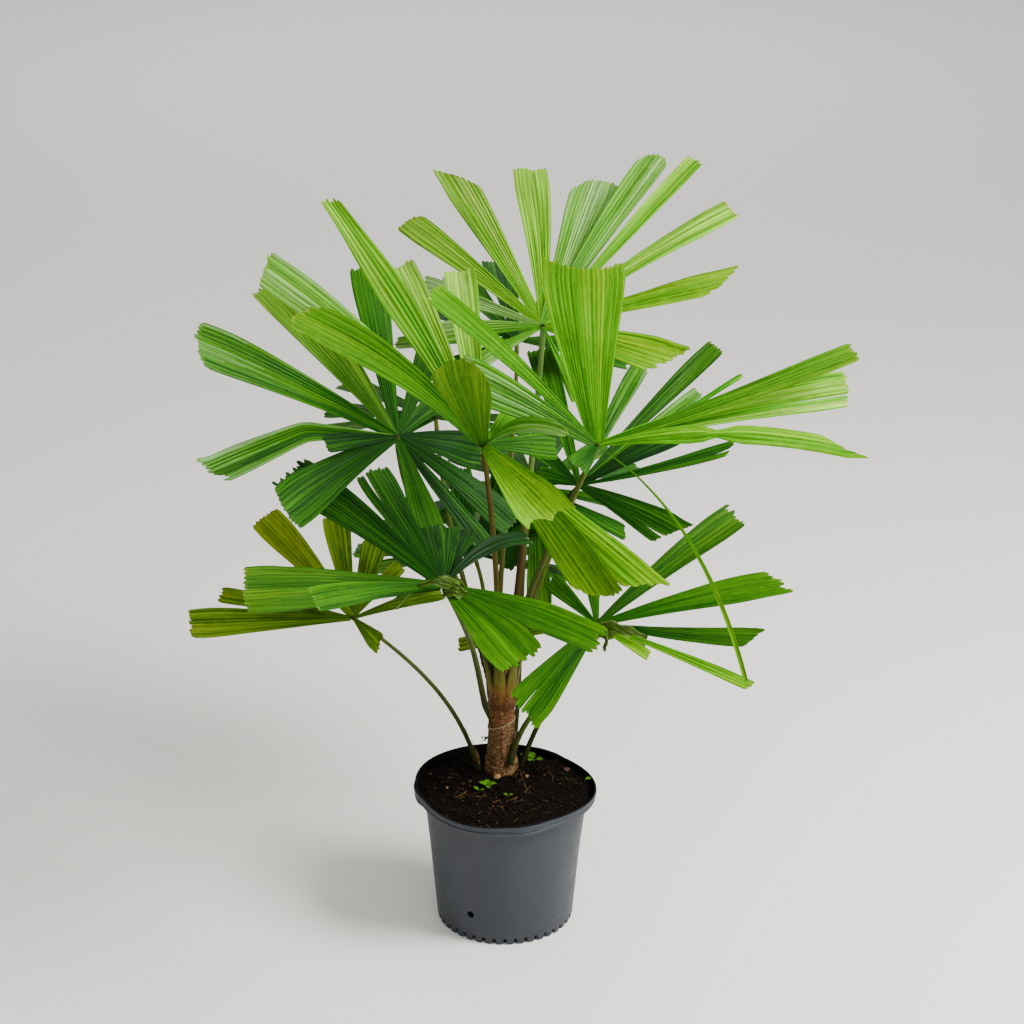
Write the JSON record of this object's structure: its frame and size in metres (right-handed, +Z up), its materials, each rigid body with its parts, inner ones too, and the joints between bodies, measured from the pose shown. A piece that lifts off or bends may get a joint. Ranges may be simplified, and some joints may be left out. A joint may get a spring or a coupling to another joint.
{
  "type": "potted fan palm",
  "caption": "Fan palm in a black nursery pot: a short fibrous trunk, upright leaf stalks, and round fans of pleated, square-tipped leaflets at several heights.",
  "frame": {"origin": "middle of the pot's flat underside", "axes": "+Z up, the plant's tallest way; the side shown in the picture faces -Y, with +X to its right"},
  "size_m": [1.0598, 1.1024, 1.2546],
  "materials": {
    "pot": "dark slate moulded plastic, satin, a little dusty",
    "mix": "damp dark potting mix with bark chips, roots and a few pebbles",
    "trunk": "brown fibrous sheaths, dry and rough",
    "stalk": "smooth olive green leaf stalks, brown towards the foot",
    "leaf_light": "light green pleated leaf with pale ribs, satin",
    "leaf_bright": "bright yellow-green pleated leaf, satin",
    "leaf_dark": "dark green pleated leaf, satin",
    "leaf_mid": "mid green pleated leaf, satin",
    "leaf_old": "old olive leaf, yellow and brown along its tips"
  },
  "bodies": {
    "root": {"pot": "pot", "potting_mix": "mix", "trunk": "trunk", "stalk_top": "stalk", "stalk_left": "stalk", "stalk_front": "stalk", "stalk_right": "stalk", "stalk_middle_right": "stalk", "stalk_back_left": "stalk", "stalk_back_top": "stalk", "stalk_low_front": "stalk", "stalk_back_low": "stalk", "stalk_low_left": "stalk", "stalk_low_right": "stalk", "stalk_back_right": "stalk", "frond_top": "leaf_light", "frond_left": "leaf_dark", "frond_front": "leaf_bright", "frond_right": "leaf_bright", "frond_middle_right": "leaf_dark", "frond_low_front": "leaf_mid", "frond_low_left": "leaf_old", "frond_low_right": "leaf_mid", "frond_back_left": "leaf_dark", "frond_back_right": "leaf_dark", "frond_back_top": "leaf_dark", "frond_back_low": "leaf_dark"}
  },
  "joints": []
}
